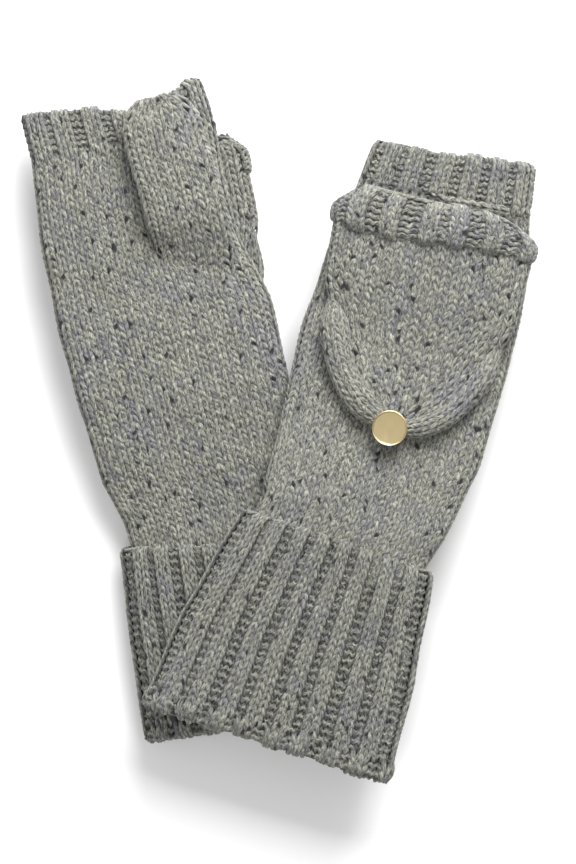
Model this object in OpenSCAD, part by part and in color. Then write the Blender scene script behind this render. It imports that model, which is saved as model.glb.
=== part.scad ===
// A pair of convertible flip-top mittens, hand knitted in tweed wool, laid flat.
// The right-hand mitten lies palm up. The left-hand mitten lies back up, with its cuff on the other's.
// Every mitten is laid out in its own frame: x across the hand towards the thumb, y from the wrist
// towards the fingers, z from the palm to the back, 0 at the middle of the flattened hand.

/* [Fabric] */
// Thickness of one knitted layer
wall = 2.2; // [2:0.1:2.4]
// Half thickness of the flattened hand
hand_h = 5.2; // [5:0.1:5.4]
// Half thickness of the cuff with its turned-up layer
cuff_h = 8.2; // [8.2:0.1:8.4]
// Thickness of the turned-up layer
turn_up_wall = 2.7; // [2.4:0.1:2.7]
// Air between two layers that lie on each other
air = 0.3; // [0.25:0.01:0.35]

/* [Cap] */
// Length of the cap from its mouth to its tip
cap_len = 106.6; // [100:0.2:110]
// Length of the cap's rounded tip
cap_round = 66; // [60:0.5:68]
// Half width of the cap where the round begins
cap_w = 45; // [43:0.5:45]
// Half width of the cap at its mouth
cap_mouth_w = 43.5; // [42:0.5:44]
// Half thickness of the cap
cap_h = 4.2; // [4.1:0.05:4.3]
// Thickness of one layer of the cap
cap_wall = 1.8; // [1.6:0.1:1.8]
// Depth of the turned hem
hem_depth = 18; // [14:0.5:20]
// How far the hem stands proud of the cap
hem_proud = 2.4; // [1.5:0.1:2.4]
// Half width of a raised band at the tip
band_w = 4.3; // [3.8:0.1:4.4]
// Half thickness of a raised band
band_h = 2.6; // [2:0.1:2.6]
// Distance from the flip axis to the cap's mouth
mouth_back = 3; // [2.8:0.1:4]

/* [Thumb] */
// Length of the thumb
thumb_len = 87; // [80:1:90]
// Half thickness of the flattened thumb
thumb_h = 4.3; // [4.1:0.1:4.4]
// Thickness of the thumb's knitted layer
thumb_wall = 1.9; // [1.7:0.1:1.9]
// Length of the thumb's rounded tip
thumb_round = 17; // [12:1:20]

/* [Button] */
// Diameter of the button
button_d = 16; // [14:0.5:16]
// Thickness of the button's head
head_t = 2.6; // [2:0.1:2.8]
// Thickness of the back plate
back_t = 0.8; // [0.6:0.1:1]
// Diameter of the back plate
back_d = 14.4; // [12:0.1:14.4]
// Diameter of the shank
shank_d = 4; // [3.6:0.1:4.2]
// Diameter of the eye through the shank
eye_d = 2.6; // [2.4:0.1:2.8]
// Diameter of the sewing thread's bundle
thread_d = 1; // [0.8:0.1:1]

/* [Hidden] */

yarn = "#a5a89b";
rib_yarn = "#9a9d90";
gold = "#d6be8c";
cotton = "#c9c6b8";

RIGHT = 0;
LEFT = 1;
// Where each wrist lies, and how far each mitten leans
wrist_at = [[-26.15, -44.58], [24.15, -51.78]];
lean = [13.6, -17.2];
// 1 with the back of the hand up, -1 with the palm up
up = [-1, 1];
// The hand from wrist to finger ends: [distance from the wrist, sideways shift, half width, skew]
hand_lie = [
    [
        [-14, -1, 41.5, -8], [8, 0, 43.5, -4], [30, -2, 47, -1], [60, -2.5, 47.8, 0], [95, -3, 48.5, 0],
        [125, -6, 44.5, -1], [150, -6, 43.3, -2], [178, -3, 42.5, -2], [199, -4, 42, -2.2]
    ],
    [
        [-14, 1.5, 41, 3], [0, 2.5, 41.5, 3], [14, 5, 42.6, 3], [50, 6, 46.5, 1], [95, 5, 47.8, 3],
        [130, 3.5, 46, 5], [161, 2, 40, 7.5], [182.5, 1, 37.2, 8.3]
    ]
];
// The cuff from its fold to its free edge, in the same form
cuff_lie = [
    [[-91.5, -4.5, 53, -5], [-45, -3, 50.5, -8], [-8, -1.5, 47.5, -11]],
    [[-95, -3, 59, -0.5], [-50, -1.7, 54.7, -1], [1.5, 1.8, 45.6, -1.5]]
];
// Height of the middle of the hand along each mitten
rise = [
    [[-110, 8.2], [8, 8.2], [60, 13.8], [95, 15], [150, 16.6], [230, 16.6]],
    [[-110, 25], [14, 25], [50, 20.6], [95, 16.2], [130, 14.8], [230, 14.8]]
];
// The knuckle line: [distance from the wrist, skew], and the end of the finger rib
knuckle = [[178, -2], [161, 7.5]];
rib_end = [199, 182.5];
// Sideways shift of the cap at its mouth, where its round begins, and at its tip
cap_shift = [[4, 4, 5.5], [2, 4.5, 8.5]];
hem_skew = [-2, 3.7];
// The thumb's base on the palm: [distance from the wrist, sideways shift, half width, skew]
thumb_base = [[109.5, 16, 17.5, -18], [92, 16, 17.5, -18]];

ring_n = 24;
band_n = 10;
inner_shift = 3.3;
fold_len = 7;
bind_len = 2.4;
inset = 8.8;
inset_ramp = [16, 6];
band_turn = [16, 77];
clear_of_head = 12.7;

function mix(a, b, t) = a + (b - a) * t;
function smooth(t) = let (u = min(max(t, 0), 1)) u * u * (3 - 2 * u);
function col(tab, k) = [for (r = tab) [r[0], r[k]]];
function lie(tab, s) = [s, lookup(s, col(tab, 1)), lookup(s, col(tab, 2)), lookup(s, col(tab, 3))];
// A place on mitten m, from x across, y along and z above the middle of the hand
function spot(m, x, y, z) = [x, y, lookup(y, rise[m]) + up[m] * z];
// The soft outline of a flattened tube, as a superellipse with a level strip at its top and bottom
crown = pow(cos(180 / ring_n), 2 / 3);
function pillow(t) = [
    sign(cos(t)) * pow(abs(cos(t)), 2 / 3),
    sign(sin(t)) * pow(abs(sin(t)), 2 / 3) / crown
];
function skin(u) = pow(1 - pow(min(abs(u), 1), 3), 1 / 3);
// One ring of a tube: st is [y, shift, half width, skew], z and h its middle and half thickness
function ring(m, st, h, z = 0, from = 180 / ring_n, to = 360 - 180 / ring_n, n = ring_n) = [
    for (i = [0:n - 1])
        let (p = pillow(mix(from, to, i / (n - 1))), a = p[0] * st[2])
        spot(m, st[1] + a * cos(st[3]), st[0] + a * sin(st[3]), z + p[1] * h)
];
function slim(st, by) = [st[0], st[1], st[2] - by, st[3]];
function flat_list(a) = [for (r = a, p = r) p];
function turn(faces, flip) = flip ? [for (f = faces) [for (i = [len(f) - 1:-1:0]) f[i]]] : faces;
function skin_faces(rows, n, first = 0, wrap = true) = [
    for (r = [0:rows - 2], j = [0:(wrap ? n - 1 : n - 2)], k = [0, 1])
        let (
            a = first + r * n + j, b = first + r * n + (j + 1) % n,
            c = a + n, d = b + n
        )
        k == 0 ? [a, c, b] : [b, c, d]
];

// Moves a mitten from its own frame to where it lies
module laid(m) {
    translate([wrist_at[m][0], wrist_at[m][1], 0]) rotate([0, 0, lean[m]]) children();
}

// Puts a piece with true curves at a place on the back of mitten m
module on_back(m, x, y) {
    laid(m) translate([x, y, lookup(y, rise[m])])
        if (up[m] > 0) children();
        else mirror([0, 0, 1]) children();
}

// A tube between outer and inner rings, open at both ends or closed at its last ring
module tube(m, outer, inner, closed = false) {
    n = ring_n;
    a = len(outer);
    b = len(inner);
    base = a * n;
    last_out = (a - 1) * n;
    last_in = base + (b - 1) * n;
    faces = concat(
        skin_faces(a, n),
        turn(skin_faces(b, n, base), true),
        [for (j = [0:n - 1], k = [0, 1])
            let (i = (j + 1) % n) k == 0 ? [j, i, base + j] : [i, base + i, base + j]],
        closed
            ? concat([for (j = [1:n - 2]) [last_out, last_out + j + 1, last_out + j]],
                [for (j = [1:n - 2]) [last_in, last_in + j, last_in + j + 1]])
            : [for (j = [0:n - 1], k = [0, 1]) let (i = (j + 1) % n)
                k == 0 ? [last_out + j, last_in + j, last_out + i] : [last_out + i, last_in + j, last_in + i]]
    );
    laid(m) polyhedron(concat(flat_list(outer), flat_list(inner)), turn(faces, up[m] > 0), convexity = 6);
}

// A solid swept along a path of [x, y, z], with an oval section that may change along it
module cord(m, path, w, h) {
    n = band_n;
    rows = len(path);
    rings = [
        for (i = [0:rows - 1])
            let (
                p = path[i],
                d = path[min(i + 1, rows - 1)] - path[max(i - 1, 0)],
                f = norm([d[0], d[1]])
            )
            [for (j = [0:n - 1]) let (t = 360 * j / n, side = cos(t) * w[i] / f)
                spot(m, p[0] + side * d[1], p[1] - side * d[0], p[2] + sin(t) * h[i])]
    ];
    faces = concat(
        skin_faces(rows, n),
        [for (j = [1:n - 2]) [0, j, j + 1]],
        [for (j = [1:n - 2]) [(rows - 1) * n, (rows - 1) * n + j + 1, (rows - 1) * n + j]]
    );
    laid(m) polyhedron(flat_list(rings), turn(faces, up[m] > 0), convexity = 4);
}

// The stations of a table that lie between two distances, with both ends added
function span(tab, from, to) = concat(
    [lie(tab, from)],
    [for (r = tab) if (r[0] > from + 0.5 && r[0] < to - 0.5) r],
    [lie(tab, to)]
);

// The part of the hand between two distances, with its walls
module hand_part(m, from, to) {
    st = span(hand_lie[m], from, to);
    tube(m, [for (r = st) ring(m, r, hand_h)], [for (r = st) ring(m, slim(r, wall), hand_h - wall)]);
}

module hand_tube(m) {
    color(yarn) hand_part(m, hand_lie[m][0][0], knuckle[m][0]);
}

module finger_rib(m) {
    color(rib_yarn) hand_part(m, knuckle[m][0], rib_end[m]);
}

// The cast-off round stands a little proud of the rib below it
module finger_bind_off(m) {
    st = lie(hand_lie[m], rib_end[m]);
    steps = [[0, 0], [0.25, 0.6], [0.75, 0.6], [1, 0]];
    color(rib_yarn) tube(
        m,
        [for (k = steps) ring(m, [st[0] + k[0] * bind_len, st[1], st[2] + k[1], st[3]], hand_h + k[1])],
        [for (k = [0, 1]) ring(m, [st[0] + k * bind_len, st[1], st[2] - wall, st[3]], hand_h - wall)]
    );
}

// The inner layer of the cuff carries on from the hand, down to the fold
function wrist_lie(m) =
    let (top = hand_lie[m][0], low = cuff_lie[m][0])
    [for (t = [1, 0.5, 0])
        let (c = lie(cuff_lie[m], mix(low[0] + fold_len, top[0], t)))
        t == 1 ? top : [c[0], c[1], c[2] - inner_shift, c[3]]];

module wrist_rib(m) {
    st = wrist_lie(m);
    color(rib_yarn) tube(
        m,
        [for (i = [2:-1:0]) ring(m, st[i], hand_h)],
        [for (i = [2:-1:0]) ring(m, slim(st[i], wall), hand_h - wall)]
    );
}

module cuff_fold(m) {
    low = cuff_lie[m][0];
    top = lie(cuff_lie[m], low[0] + fold_len);
    steps = [[0, 2.2], [1.4, 0.5], [3.2, 0]];
    color(rib_yarn) tube(
        m,
        [for (k = concat(steps, [[fold_len, 0]]))
            let (c = lie(cuff_lie[m], low[0] + k[0])) ring(m, slim(c, k[1]), cuff_h - k[1])],
        [for (y = [low[0], top[0]])
            let (c = lie(cuff_lie[m], y)) ring(m, slim(c, inner_shift + wall), hand_h - wall)]
    );
}

module cuff_turn_up(m) {
    tab = cuff_lie[m];
    st = span(tab, tab[0][0] + fold_len, tab[2][0]);
    color(yarn) tube(
        m,
        [for (r = st) ring(m, r, cuff_h)],
        [for (r = st) ring(m, slim(r, turn_up_wall), cuff_h - turn_up_wall)]
    );
}

module cuff_bind_off(m) {
    st = cuff_lie[m][2];
    steps = [[0, 0], [0.3, 0.5], [0.7, 0.4], [1, -0.5]];
    edge_drop = 0.2;
    color(rib_yarn) tube(
        m,
        [for (k = steps)
            ring(m, [st[0] + k[0] * bind_len, st[1], st[2] + k[1], st[3]], cuff_h - edge_drop + min(k[1], 0))],
        [for (k = [0, 1])
            ring(m, [st[0] + k * bind_len, st[1], st[2] - turn_up_wall, st[3]], cuff_h - turn_up_wall)]
    );
}

function thumb_st(m, y) =
    let (b = thumb_base[m], from_tip = thumb_len - y,
        r = from_tip < thumb_round ? sqrt(1 - pow(1 - from_tip / thumb_round, 2)) : 1)
    [b[0] + y, b[1] + 1.5 * smooth(y / 20) * (1 - smooth((y - 40) / 25)), (b[2] + 0.6 * smooth(y / 20)) * r,
        b[3] * (1 - smooth(y / 40)), r];

module thumb(m) {
    z = -(hand_h + air + thumb_h);
    ends = [thumb_len - thumb_round, thumb_len - 10, thumb_len - 5, thumb_len - 2, thumb_len - 0.4];
    ys = concat([0, 12, 25, 42, 56], ends);
    in_ys = [for (y = ys) if (y < thumb_len - 3) y];
    color(yarn) tube(
        m,
        [for (y = ys) let (s = thumb_st(m, y)) ring(m, s, thumb_h * mix(0.35, 1, s[4]), z)],
        [for (y = in_ys) let (s = thumb_st(m, y))
            ring(m, slim(s, thumb_wall), (thumb_h - thumb_wall) * mix(0.35, 1, s[4]), z)],
        closed = true
    );
}

module thumb_seam(m) {
    b = thumb_base[m];
    r = 1.1;
    back = thumb_h + 1.7;
    n = 5;
    path = [for (i = [0:n]) let (a = mix(-1, 1, i / n) * (b[2] - 1))
        [b[1] + a * cos(b[3]), b[0] - back + a * sin(b[3]), -(hand_h + r)]];
    color(rib_yarn) cord(m, path, [for (p = path) r], [for (p = path) r]);
}

function cap_mouth(m) = knuckle[m][0] + 0.6 - mouth_back;
function cap_tip(m) = cap_mouth(m) - cap_len;
function cap_bend(m) = cap_tip(m) + cap_round;
function cap_mid(m, y) = lookup(y, [
    [cap_tip(m), cap_shift[m][2]], [cap_bend(m), cap_shift[m][1]], [cap_mouth(m), cap_shift[m][0]]
]);
// Half width of the pocket at y, drawn in behind the raised bands of the tip
function cap_half(m, y) =
    let (
        from_bend = cap_bend(m) - y,
        drawn = inset * smooth((from_bend - inset_ramp[1]) / (inset_ramp[0] - inset_ramp[1])),
        full = lookup(y, [[cap_bend(m), cap_w], [cap_mouth(m), cap_mouth_w]])
    )
    from_bend <= 0 ? full : (full - drawn) * sqrt(max(0, 1 - pow(from_bend / (cap_round - clear_of_head), 2)));
function cap_skew(m, y) = knuckle[m][1] * smooth((y - cap_bend(m)) / (cap_mouth(m) - cap_bend(m)));
function cap_z(m, y) = hand_h + air + cap_thick(m, y);
function cap_thick(m, y) = mix(2.4, cap_h, smooth((y - cap_tip(m) - clear_of_head) / 40));

module cap_shell(m) {
    tip = cap_tip(m) + clear_of_head;
    bend = cap_bend(m);
    ys = concat(
        [cap_mouth(m) + mouth_back - 0.5, cap_mouth(m) - 20, bend, bend - 6, bend - 11, bend - 16],
        [for (t = [0.4, 0.6, 0.75, 0.87, 0.95, 0.99]) mix(bend, tip, t)]
    );
    in_ys = [for (y = ys) if (y > tip + 2) y];
    color(yarn) tube(
        m,
        [for (y = ys) ring(m, [y, cap_mid(m, y), cap_half(m, y), cap_skew(m, y)], -cap_thick(m, y), cap_z(m, y))],
        [for (y = in_ys)
            let (w = max(cap_half(m, y) - cap_wall, 1), h = max(cap_thick(m, y) - cap_wall, 0.3))
            ring(m, [y, cap_mid(m, y), w, cap_skew(m, y)], -h, cap_z(m, y))],
        closed = true
    );
}

// The hem covers the outer layer at the mouth and turns in at both side edges
module cap_hem(m) {
    n = 16;
    mid_z = hand_h + air + cap_h;
    color(rib_yarn) laid(m) {
        sections = [for (t = [0, 0.15, 0.5, 0.85, 1])
            let (
                y = mix(cap_mouth(m), cap_mouth(m) - hem_depth, t),
                round_off = 0.9 * pow(abs(2 * t - 1), 4),
                st = [y, cap_mid(m, y), cap_w + 2.4 - round_off, mix(knuckle[m][1], hem_skew[m], t)],
                over = ring(m, st, cap_h + hem_proud - round_off, mid_z, -12, 192, n),
                under = ring(m, [y, st[1], cap_w + 0.3, st[3]], cap_h + 0.15, mid_z, -12, 192, n)
            )
            concat(over, [for (i = [n - 1:-1:0]) under[i]])];
        rows = len(sections);
        k = 2 * n;
        last = (rows - 1) * k;
        faces = concat(
            skin_faces(rows, k),
            [for (j = [0:n - 2], e = [0, 1]) e == 0 ? [j, j + 1, k - 1 - j] : [j + 1, k - 2 - j, k - 1 - j]],
            [for (j = [0:n - 2], e = [0, 1])
                e == 0 ? [last + j, last + k - 1 - j, last + j + 1]
                       : [last + j + 1, last + k - 1 - j, last + k - 2 - j]]
        );
        polyhedron(flat_list(sections), turn(faces, up[m] < 0), convexity = 6);
    }
}

// A raised band follows the edge of the rounded tip to the button; side is 1 towards the thumb
function band_path(m, side) = [
    for (i = [0:9])
        let (
            a = mix(band_turn[0], band_turn[1], i / 9),
            y = cap_bend(m) - (cap_round - band_w) * sin(a)
        )
        [cap_mid(m, y) + side * (cap_w - band_w) * cos(a), y, hand_h + air + band_h]
];

module cap_band(m, side) {
    path = band_path(m, side);
    swell = [for (i = [0:9]) 0.5 + 0.5 * smooth(i / 2)];
    color(yarn) cord(m, path, [for (k = swell) band_w * k], [for (k = swell) band_h * k]);
}

module cap_seam(m) {
    r = 1.15;
    y = cap_mouth(m) + mouth_back + 0.4 + r;
    k = knuckle[m][1];
    half = lie(hand_lie[m], y);
    path = [for (u = [-0.9, -0.75, -0.45, 0, 0.45, 0.75, 0.9]) let (a = u * half[2])
        [half[1] + a * cos(k), y + a * sin(k), hand_h * skin(u) + r + 0.1]];
    color(rib_yarn) cord(m, path, [for (p = path) r], [for (p = path) r]);
}

function button_x(m) = cap_shift[m][2];
function button_y(m) = cap_bend(m) - cap_round + band_w;
loop_z = hand_h + air + band_h;
head_z = hand_h + air + 2 * band_h + air;

module cap_loop(m) {
    r = 0.9;
    loop_r = 4.2;
    loop_reach = 8.7;
    color(cotton) on_back(m, button_x(m), button_y(m)) translate([0, 0, loop_z]) {
        rotate_extrude($fn = 32) translate([loop_r, 0]) circle(r, $fn = 14);
        for (a = [8, 172])
            rotate([0, 90, a]) translate([0, 0, loop_r]) cylinder(r = r, h = loop_reach - loop_r, $fn = 14);
    }
}

module button_shell(m) {
    rim = 0.7;
    dip = 0.25;
    color(gold) on_back(m, button_x(m), button_y(m)) translate([0, 0, head_z])
        rotate_extrude($fn = 64) polygon([
            [0, back_t], [back_d / 2, back_t], [back_d / 2, 0], [button_d / 2 - 0.3, 0], [button_d / 2, 0.3],
            [button_d / 2, head_t - 0.35], [button_d / 2 - 0.3, head_t], [button_d / 2 - rim, head_t],
            [button_d / 2 - rim - dip, head_t - dip], [0, head_t - dip]
        ]);
}

module button_back(m) {
    color(gold) on_back(m, button_x(m), button_y(m)) translate([0, 0, head_z])
        cylinder(d = back_d, h = back_t, $fn = 64);
}

module button_shank(m) {
    eye_z = hand_h + 1.8;
    foot = hand_h + 0.2;
    color(gold) on_back(m, button_x(m), button_y(m)) difference() {
        translate([0, 0, foot]) cylinder(d = shank_d, h = head_z - foot, $fn = 32);
        translate([-shank_d, 0, eye_z]) rotate([0, 90, 0]) cylinder(d = eye_d, h = 2 * shank_d, $fn = 24);
    }
}

module button_thread(m) {
    eye_z = hand_h + 1.8;
    leg_x = shank_d / 2 + 0.4 + thread_d / 2;
    into = 0.6;
    color(cotton) on_back(m, button_x(m), button_y(m)) {
        translate([-leg_x, 0, eye_z]) rotate([0, 90, 0]) cylinder(d = thread_d, h = 2 * leg_x, $fn = 16);
        for (side = [-1, 1]) translate([side * leg_x, 0, hand_h - into]) {
            cylinder(d = thread_d, h = eye_z - hand_h + into, $fn = 16);
            translate([0, 0, eye_z - hand_h + into]) sphere(d = thread_d, $fn = 16);
        }
    }
}

hand_tube(RIGHT);  // right_hand_tube
finger_rib(RIGHT);  // right_finger_rib
finger_bind_off(RIGHT);  // right_finger_bind_off
thumb(RIGHT);  // right_thumb
thumb_seam(RIGHT);  // right_thumb_seam
wrist_rib(RIGHT);  // right_wrist_rib
cuff_fold(RIGHT);  // right_cuff_fold
cuff_turn_up(RIGHT);  // right_cuff_turn_up
cuff_bind_off(RIGHT);  // right_cuff_bind_off
cap_shell(RIGHT);  // right_cap_shell
cap_hem(RIGHT);  // right_cap_hem
cap_band(RIGHT, 1);  // right_cap_band_thumb_side
cap_band(RIGHT, -1);  // right_cap_band_little_side
cap_seam(RIGHT);  // right_cap_seam
cap_loop(RIGHT);  // right_cap_loop
button_shell(RIGHT);  // right_button_shell
button_back(RIGHT);  // right_button_back
button_shank(RIGHT);  // right_button_shank
button_thread(RIGHT);  // right_button_thread
hand_tube(LEFT);  // left_hand_tube
finger_rib(LEFT);  // left_finger_rib
finger_bind_off(LEFT);  // left_finger_bind_off
thumb(LEFT);  // left_thumb
thumb_seam(LEFT);  // left_thumb_seam
wrist_rib(LEFT);  // left_wrist_rib
cuff_fold(LEFT);  // left_cuff_fold
cuff_turn_up(LEFT);  // left_cuff_turn_up
cuff_bind_off(LEFT);  // left_cuff_bind_off
cap_shell(LEFT);  // left_cap_shell
cap_hem(LEFT);  // left_cap_hem
cap_band(LEFT, 1);  // left_cap_band_thumb_side
cap_band(LEFT, -1);  // left_cap_band_little_side
cap_seam(LEFT);  // left_cap_seam
cap_loop(LEFT);  // left_cap_loop
button_shell(LEFT);  // left_button_shell
button_back(LEFT);  // left_button_back
button_shank(LEFT);  // left_button_shank
button_thread(LEFT);  // left_button_thread
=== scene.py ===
# %% [markdown]
# # A pair of flip-top mittens, knitted stitch by stitch
# The object is hand knitting: one thick tweed yarn, pulled into loops, row on row. It could be a smooth
# tube with a knit pattern in its bump, which is quick but looks printed on and has a smooth edge. Here
# every stitch is real geometry, because the loops are big enough to see from a metre away, they catch
# the light one by one, and they make the edge of a cuff or a thumb bumpy.
# The CAD frame says where each piece is. This script knits every piece over its own CAD solid.

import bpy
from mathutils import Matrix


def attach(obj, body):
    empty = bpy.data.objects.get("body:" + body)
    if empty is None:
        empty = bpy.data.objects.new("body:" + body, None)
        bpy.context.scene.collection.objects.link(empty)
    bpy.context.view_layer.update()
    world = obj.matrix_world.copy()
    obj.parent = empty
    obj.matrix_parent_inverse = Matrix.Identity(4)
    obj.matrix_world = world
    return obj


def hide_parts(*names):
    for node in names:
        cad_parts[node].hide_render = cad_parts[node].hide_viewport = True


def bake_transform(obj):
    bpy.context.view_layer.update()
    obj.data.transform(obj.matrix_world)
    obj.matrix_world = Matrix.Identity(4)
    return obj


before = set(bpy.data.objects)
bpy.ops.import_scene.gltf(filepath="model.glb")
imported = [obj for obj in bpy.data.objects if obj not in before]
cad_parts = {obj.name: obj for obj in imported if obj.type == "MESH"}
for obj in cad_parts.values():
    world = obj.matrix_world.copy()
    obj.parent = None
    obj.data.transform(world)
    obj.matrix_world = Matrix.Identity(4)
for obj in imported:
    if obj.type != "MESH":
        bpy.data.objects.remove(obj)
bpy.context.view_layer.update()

# %% Tools that the lesson uses
import bpy
import math
from functools import partial
import numpy as np

MM = 0.001


def add_object(name, data):
    """An object in the scene that shows this data."""
    made = bpy.data.objects.new(name, data)
    bpy.context.scene.collection.objects.link(made)
    return made


print("Blender", bpy.app.version_string)

# %% [markdown]
# ## Where the mittens lie
# Each mitten has its own frame in millimetres: x across the hand towards the thumb, y from the wrist
# to the fingers, z from the palm to the back. The right-hand mitten lies palm up and the left-hand one
# back up, so a sign turns z over. The tables are the same ones that the CAD is built on: distance from
# the wrist, sideways shift, half width, and the slant of the rows in degrees. The open edge at the
# fingers sags towards the wrist, and SLUMP says how far at each place across the hand, from -1 to 1.

# %% The lie of each mitten
SIDES = ("right", "left")
WRIST = {"right": (-26.15, -44.58), "left": (24.15, -51.78)}
LEAN = {"right": math.radians(13.6), "left": math.radians(-17.2)}
UP = {"right": -1, "left": 1}
HAND = {
    "right": [(-14, -1, 41.5, -8), (8, 0, 43.5, -4), (30, -2, 47, -1), (60, -2.5, 47.8, 0), (95, -3, 48.5, 0),
              (125, -6, 44.5, -1), (150, -6, 43.3, -2), (178, -3, 42.5, -2), (199, -4, 42, -2.2)],
    "left": [(-14, 1.5, 41, 3), (0, 2.5, 41.5, 3), (14, 5, 42.6, 3), (50, 6, 46.5, 1), (95, 5, 47.8, 3),
             (130, 3.5, 46, 5), (161, 2, 40, 7.5), (182.5, 1, 37.2, 8.3)],
}
CUFF = {
    "right": [(-91.5, -4.5, 53, -5), (-45, -3, 50.5, -8), (-8, -1.5, 47.5, -11)],
    "left": [(-95, -3, 59, -0.5), (-50, -1.7, 54.7, -1), (1.5, 1.8, 45.6, -1.5)],
}
RISE = {
    "right": [(-110, 8.2), (8, 8.2), (60, 13.8), (95, 15), (150, 16.6), (230, 16.6)],
    "left": [(-110, 25), (14, 25), (50, 20.6), (95, 16.2), (130, 14.8), (230, 14.8)],
}
KNUCKLE = {"right": (178, -2), "left": (161, 7.5)}
RIB_END = {"right": 199, "left": 182.5}
SLUMP_LONG = 26.0
SLUMP = {
    "right": [(-1, 0.5), (-0.6, 1.8), (-0.24, 3.9), (0.17, 8.5), (0.45, 8.0), (0.8, 3.0), (0.93, 0), (1, 0)],
    "left": [(-1, 0), (0, 0.6), (1, 0)],
}


def smooth(t):
    """A soft step from 0 to 1 as t goes from 0 to 1."""
    t = np.clip(t, 0, 1)
    return t * t * (3 - 2 * t)


def slump(side):
    """How far the open finger edge sags, from its position across the mitten."""
    across, down = zip(*SLUMP[side])
    return lambda y, at: np.interp(at, across, down) * smooth((y - RIB_END[side]) / SLUMP_LONG + 1)


def column(table, y, k):
    """One column of a table at y, with straight lines between its rows."""
    return np.interp(y, [row[0] for row in table], [row[k] for row in table])


def lay(side, x, y, z):
    """Points of a mitten's own frame, in millimetres, as points of the row frame, in metres."""
    lean = LEAN[side]
    height = column(RISE[side], y, 1) + UP[side] * z
    across = WRIST[side][0] + x * math.cos(lean) - y * math.sin(lean)
    along = WRIST[side][1] + x * math.sin(lean) + y * math.cos(lean)
    return np.stack([across, along, height], -1) * MM


print("mittens, fold to fingers:", [RIB_END[side] - CUFF[side][0][0] for side in SIDES], "mm")

# %% [markdown]
# ## The outline of a flattened tube
# A hand-knitted tube that lies flat has two level layers and two soft folded edges, which is close to a
# superellipse. The outline is measured along its length once, so that stitches can be set out evenly
# round it. Position 0 is the middle of the side that is looked at, and plus or minus one half is the
# middle of the other side, where the rows start.

# %% The outline, measured along its length
ROUND_POWER = 2 / 3
TOP_STRIP = math.cos(math.radians(7.5)) ** ROUND_POWER  # level within 7.5 degrees of the top
OUTLINE_STEPS = 4001


def outline(half, thick):
    """Position round the outline, with across and up for a half size of 1."""
    turn = math.pi * (1 - np.cos(np.linspace(0, math.pi, OUTLINE_STEPS))) - math.pi
    across = np.sign(np.sin(turn)) * np.abs(np.sin(turn)) ** ROUND_POWER
    up = np.sign(np.cos(turn)) * np.minimum(np.abs(np.cos(turn)) ** ROUND_POWER / TOP_STRIP, 1)
    step = np.hypot(np.diff(across) * half, np.diff(up) * thick)
    length = np.concatenate([[0], np.cumsum(step)])
    return length / length[-1] - 0.5, across, up


FLAT = outline(45.0, 5.2)  # a usual tube's half width and half thickness


def flat_tube(side, shape, face=1, sag=None):
    """A flattened tube. shape(v) gives y, shift, half width, slant, middle height and half thickness."""
    position, across, up = FLAT

    def at(u, v):
        u = (u + 0.5) % 1 - 0.5
        y, shift, half, slant, middle, thick = shape(v)
        a = np.interp(u, position, across) * half
        if sag is not None:
            y = y - sag(y, a / half)
        z = middle + face * np.interp(u, position, up) * thick
        return lay(side, shift + a * np.cos(slant), y + a * np.sin(slant), z)

    return at


def girth(at, v):
    """Length round a tube at v, in millimetres."""
    u = np.linspace(-0.5, 0.5, 97)[:-1]
    ring = at(u, np.full(len(u), float(v)))
    return np.linalg.norm(ring - np.roll(ring, 1, axis=0), axis=1).sum() / MM


print("outline points:", len(FLAT[0]))

# %% [markdown]
# ## One stitch, one yarn
# A knitted row is a wave: the yarn goes up one leg, round a head and down the other leg. Sideways it
# bulges twice a stitch, so that the neck is narrow and the head is wide. Through the cloth it also moves
# twice a stitch: the legs lie in front and the heads and feet behind. Three waves give that. A purl
# stitch is the same one seen from behind, so it only changes the sign of the last wave. In a rib the
# purl columns draw back, and are narrower and less even than the knit ones. Rows of loops
# drawn one stitch apart hook into each other by themselves. All of a tube's rows are one yarn that
# climbs in a spiral, as in real knitting.

# %% The gauge and the wave
STITCH = 4.6  # mm wide
ROW = 3.4  # mm high
YARN_WIDE = 1.15  # half of it, mm
YARN_DEEP = 0.95
LOOP_TALL = 1.2  # in rows
LOOP_BULGE = 0.24  # in stitches
LOOP_DEEP = 0.85  # mm
STEPS = 10  # points to a stitch
YARN_SIDES = 8
PURL_BLEND = 0.22  # half the change from knit to purl, in stitches
KNIT_UNEVEN = 0.06
PURL_UNEVEN = 0.5
RIB = (1, 1, -1, -1)
print(f"gauge: {100 / STITCH:.1f} stitches and {100 / ROW:.1f} rows to 10 cm")


def knit_or_purl(stitch, pattern):
    """1 on a knit column and -1 on a purl one, with a soft change between them."""
    if pattern is None:
        return np.ones_like(stitch)
    values = np.array(pattern, float)
    near = np.round(stitch).astype(int)
    before = values[(near - 1) % len(values)]
    after = values[near % len(values)]
    t = np.clip((stitch - near) / (2 * PURL_BLEND) + 0.5, 0, 1)
    return before + (after - before) * t * t * (3 - 2 * t)


def spread(stitch, pattern, knit_share, wales, seed):
    """Moves the stitches sideways, so that a rib's knit columns take up their share of its width."""
    if pattern is None:
        return stitch
    kinds = np.resize(pattern, wales)
    uneven = np.random.default_rng(seed).uniform(-1, 1, wales) * np.where(kinds > 0, KNIT_UNEVEN, PURL_UNEVEN)
    wide = np.where(kinds > 0, knit_share, 1 - knit_share) * (1 + uneven)
    edges = np.concatenate([[0], np.cumsum(wide)])
    return np.interp(stitch, np.arange(wales + 1), edges * wales / edges[-1])


def unit(vectors):
    """The vectors, each at length 1."""
    return vectors / (np.linalg.norm(vectors, axis=-1, keepdims=True) + 1e-12)


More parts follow.
